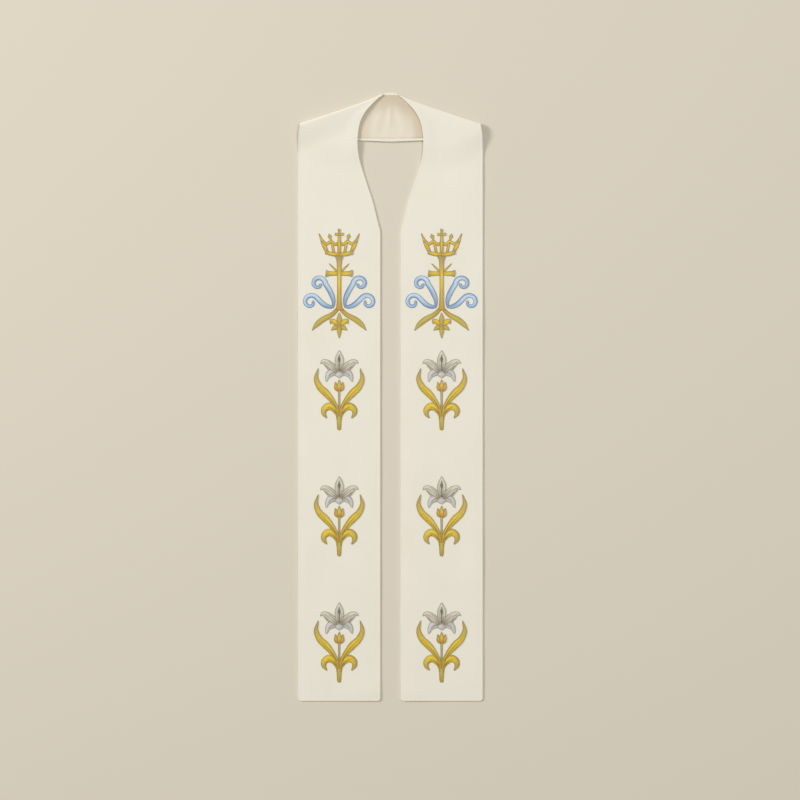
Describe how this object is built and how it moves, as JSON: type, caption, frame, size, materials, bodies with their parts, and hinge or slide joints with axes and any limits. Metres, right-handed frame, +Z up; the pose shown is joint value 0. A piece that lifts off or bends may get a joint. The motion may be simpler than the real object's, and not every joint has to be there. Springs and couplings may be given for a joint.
{
  "type": "clerical stole",
  "caption": "Long lined cloth stole laid flat and folded at the shoulders, with embroidered lilies and a crowned cross on each straight front panel.",
  "frame": {"origin": "middle of the laid stole on the surface it lies on: centre of its bounding box in plan, at its underside", "axes": "+Y along the stole from the hems to the back of the neck, +X across it to the right as seen from above, +Z up from the surface, out of the embroidered face"},
  "size_m": [0.3616, 1.191, 0.0112],
  "materials": {
    "ivory_cloth": "ivory woven cloth, fine even weave, dull",
    "lining_satin": "cream satin lining, soft sheen",
    "gold_thread": "gold rayon satin stitch, silky",
    "silver_thread": "silver grey rayon satin stitch, silky",
    "blue_thread": "light and mid blue rayon satin stitch, silky"
  },
  "bodies": {
    "root": {"left_half": "ivory_cloth", "right_half": "ivory_cloth", "left_neck_lining": "lining_satin", "right_neck_lining": "lining_satin", "left_crown": "gold_thread", "right_crown": "gold_thread", "left_cross": "gold_thread", "right_cross": "gold_thread", "left_scroll_east": "blue_thread", "left_scroll_west": "blue_thread", "right_scroll_east": "blue_thread", "right_scroll_west": "blue_thread", "left_fleuron": "gold_thread", "right_fleuron": "gold_thread", "left_lily_1_bloom": "silver_thread", "left_lily_2_bloom": "silver_thread", "left_lily_3_bloom": "silver_thread", "right_lily_1_bloom": "silver_thread", "right_lily_2_bloom": "silver_thread", "right_lily_3_bloom": "silver_thread", "left_lily_1_leaves": "gold_thread", "left_lily_2_leaves": "gold_thread", "left_lily_3_leaves": "gold_thread", "right_lily_1_leaves": "gold_thread", "right_lily_2_leaves": "gold_thread", "right_lily_3_leaves": "gold_thread"}
  },
  "joints": []
}
